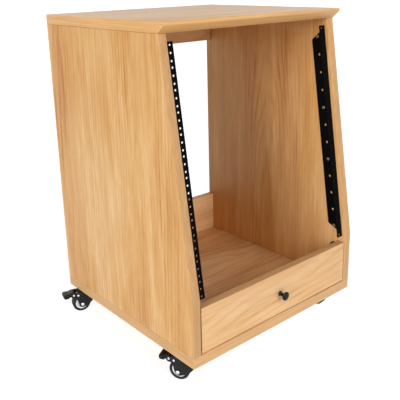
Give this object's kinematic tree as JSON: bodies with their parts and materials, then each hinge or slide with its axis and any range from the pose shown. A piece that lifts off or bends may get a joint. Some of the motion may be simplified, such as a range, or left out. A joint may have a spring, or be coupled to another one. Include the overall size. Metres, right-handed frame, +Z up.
{
  "type": "studio rack stand",
  "caption": "Slant-front studio rack cabinet of oak-look board: open back, punched steel rack rails, knobbed drop-down front flap, and swivel casters with brake pedals.",
  "frame": {"origin": "centre of the base panel's underside, where the casters are screwed on", "axes": "+X to the right seen from the front, +Y to the back, +Z up"},
  "size_m": [0.597, 0.5663, 0.7827],
  "materials": {
    "oak_board": "oak-look faced board, satin",
    "black_steel": "black powder coat",
    "black_plastic": "black moulded plastic",
    "caster_tyre": "black tread",
    "hub_plastic": "light glossy hub",
    "dark_steel": "dull dark-plated steel",
    "bright_steel": "zinc-plated steel"
  },
  "bodies": {
    "cabinet": {"base_panel": "oak_board", "left_side_panel": "oak_board", "right_side_panel": "oak_board", "top_panel": "oak_board", "lower_back_board": "oak_board", "upper_back_rail": "oak_board", "flap_catch": "black_plastic", "left_pivot_pin": "bright_steel", "right_pivot_pin": "bright_steel", "left_rack_rail": "black_steel", "left_rack_rail_screw_1": "dark_steel", "left_rack_rail_screw_2": "dark_steel", "left_rack_rail_screw_3": "dark_steel", "left_rack_rail_screw_4": "dark_steel", "right_rack_rail": "black_steel", "right_rack_rail_screw_1": "dark_steel", "right_rack_rail_screw_2": "dark_steel", "right_rack_rail_screw_3": "dark_steel", "right_rack_rail_screw_4": "dark_steel", "front_left_caster_plate": "black_steel", "front_left_caster_kingpin": "bright_steel", "front_right_caster_plate": "black_steel", "front_right_caster_kingpin": "bright_steel", "back_left_caster_plate": "black_steel", "back_left_caster_kingpin": "bright_steel", "back_right_caster_plate": "black_steel", "back_right_caster_kingpin": "bright_steel"},
    "flap": {"front_flap": "oak_board", "flap_knob": "black_plastic", "knob_screw": "bright_steel", "flap_strike_plate": "bright_steel"},
    "front_left_swivel": {"front_left_caster_fork": "black_steel", "front_left_caster_axle": "bright_steel", "front_left_caster_brake_rivet": "bright_steel", "front_left_caster_spacer_rivet": "bright_steel"},
    "front_left_wheel": {"front_left_caster_tyre": "caster_tyre", "front_left_caster_hub": "hub_plastic"},
    "front_left_brake": {"front_left_caster_brake_pedal": "black_plastic"},
    "front_right_swivel": {"front_right_caster_fork": "black_steel", "front_right_caster_axle": "bright_steel", "front_right_caster_brake_rivet": "bright_steel", "front_right_caster_spacer_rivet": "bright_steel"},
    "front_right_wheel": {"front_right_caster_tyre": "caster_tyre", "front_right_caster_hub": "hub_plastic"},
    "front_right_brake": {"front_right_caster_brake_pedal": "black_plastic"},
    "back_left_swivel": {"back_left_caster_fork": "black_steel", "back_left_caster_axle": "bright_steel", "back_left_caster_brake_rivet": "bright_steel", "back_left_caster_spacer_rivet": "bright_steel"},
    "back_left_wheel": {"back_left_caster_tyre": "caster_tyre", "back_left_caster_hub": "hub_plastic"},
    "back_left_brake": {"back_left_caster_brake_pedal": "black_plastic"},
    "back_right_swivel": {"back_right_caster_fork": "black_steel", "back_right_caster_axle": "bright_steel", "back_right_caster_brake_rivet": "bright_steel", "back_right_caster_spacer_rivet": "bright_steel"},
    "back_right_wheel": {"back_right_caster_tyre": "caster_tyre", "back_right_caster_hub": "hub_plastic"},
    "back_right_brake": {"back_right_caster_brake_pedal": "black_plastic"}
  },
  "joints": [
    {"name": "access_flap_hinge", "type": "hinge", "parent": "cabinet", "child": "flap", "pos_m": [0, -0.2565, 0.0318], "axis": [1, 0, 0], "range_deg": [0, 90]},
    {"name": "front_left_caster_swivel", "type": "hinge", "parent": "cabinet", "child": "front_left_swivel", "pos_m": [-0.23555, -0.215, 0], "axis": [0, 0, 1], "continuous": true},
    {"name": "front_left_wheel_spin", "type": "hinge", "parent": "front_left_swivel", "child": "front_left_wheel", "pos_m": [-0.24815, -0.19226, -0.0395], "axis": [0.8746, 0.4848, 0], "continuous": true},
    {"name": "front_left_brake_press", "type": "hinge", "parent": "front_left_swivel", "child": "front_left_brake", "pos_m": [-0.25858, -0.17346, -0.0103], "axis": [-0.8746, -0.4848, 0], "range_deg": [0, 25]},
    {"name": "front_right_caster_swivel", "type": "hinge", "parent": "cabinet", "child": "front_right_swivel", "pos_m": [0.23555, -0.215, 0], "axis": [0, 0, 1], "continuous": true},
    {"name": "front_right_wheel_spin", "type": "hinge", "parent": "front_right_swivel", "child": "front_right_wheel", "pos_m": [0.23328, -0.1891, -0.0395], "axis": [0.9962, 0.0872, 0], "continuous": true},
    {"name": "front_right_brake_press", "type": "hinge", "parent": "front_right_swivel", "child": "front_right_brake", "pos_m": [0.23141, -0.16768, -0.0103], "axis": [-0.9962, -0.0872, 0], "range_deg": [0, 25]},
    {"name": "back_left_caster_swivel", "type": "hinge", "parent": "cabinet", "child": "back_left_swivel", "pos_m": [-0.23555, 0.215, 0], "axis": [0, 0, 1], "continuous": true},
    {"name": "back_left_wheel_spin", "type": "hinge", "parent": "back_left_swivel", "child": "back_left_wheel", "pos_m": [-0.26066, 0.22173, -0.0395], "axis": [0.2588, 0.9659, 0], "continuous": true},
    {"name": "back_left_brake_press", "type": "hinge", "parent": "back_left_swivel", "child": "back_left_brake", "pos_m": [-0.28143, 0.22729, -0.0103], "axis": [-0.2588, -0.9659, 0], "range_deg": [0, 25]},
    {"name": "back_right_caster_swivel", "type": "hinge", "parent": "cabinet", "child": "back_right_swivel", "pos_m": [0.23555, 0.215, 0], "axis": [0, 0, 1], "continuous": true},
    {"name": "back_right_wheel_spin", "type": "hinge", "parent": "back_right_swivel", "child": "back_right_wheel", "pos_m": [0.25046, 0.2363, -0.0395], "axis": [0.8192, -0.5736, 0], "continuous": true},
    {"name": "back_right_brake_press", "type": "hinge", "parent": "back_right_swivel", "child": "back_right_brake", "pos_m": [0.2628, 0.25391, -0.0103], "axis": [-0.8192, 0.5736, 0], "range_deg": [0, 25]}
  ]
}
